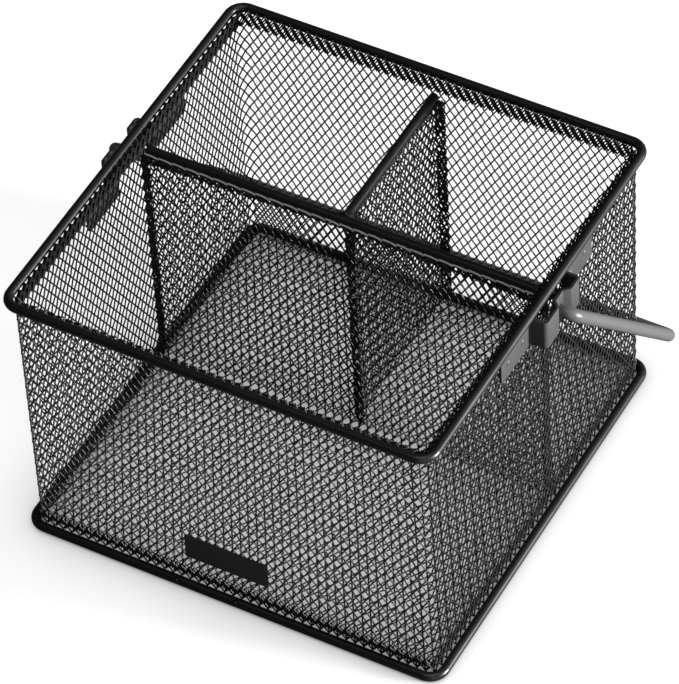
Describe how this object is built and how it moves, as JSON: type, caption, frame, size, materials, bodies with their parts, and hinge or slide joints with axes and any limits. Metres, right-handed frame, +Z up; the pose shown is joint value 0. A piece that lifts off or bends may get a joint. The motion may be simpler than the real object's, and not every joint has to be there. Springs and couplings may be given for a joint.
{
  "type": "desk organizer",
  "caption": "Square wire-mesh desk caddy with rod rims, mesh dividers and a swinging carry handle hung on two wall brackets.",
  "frame": {"origin": "centre of the footprint, on the surface the caddy stands on", "axes": "+X to the right seen from the front plate, +Y from front to back, +Z up"},
  "size_m": [0.2124, 0.1921, 0.133],
  "materials": {
    "rim_rod": "satin black powder coat",
    "mesh": "black powder coat on woven wire",
    "bracket": "satin black powder coat",
    "handle_rod": "satin black powder coat",
    "plate": "matt dark grey"
  },
  "bodies": {
    "caddy": {"top_rim": "rim_rod", "bottom_rim": "rim_rod", "rim_weld_beads": "rim_rod", "wall_mesh": "mesh", "top_hem": "mesh", "foot_hem": "mesh", "floor_mesh": "mesh", "long_divider_mesh": "mesh", "long_divider_rod": "rim_rod", "long_divider_top_hem": "mesh", "long_divider_left_flange": "mesh", "long_divider_right_flange": "mesh", "short_divider_mesh": "mesh", "short_divider_rod": "rim_rod", "short_divider_top_hem": "mesh", "short_divider_front_flange": "mesh", "short_divider_back_flange": "mesh", "left_bracket": "bracket", "right_bracket": "bracket", "spot_welds": "bracket", "front_plate": "plate"},
    "handle": {"swing_handle": "handle_rod"}
  },
  "joints": [
    {"name": "handle_swing", "type": "hinge", "parent": "caddy", "child": "handle", "pos_m": [0, 0.0085, 0.1195], "axis": [1, 0, 0], "range_deg": [0, 264]}
  ]
}
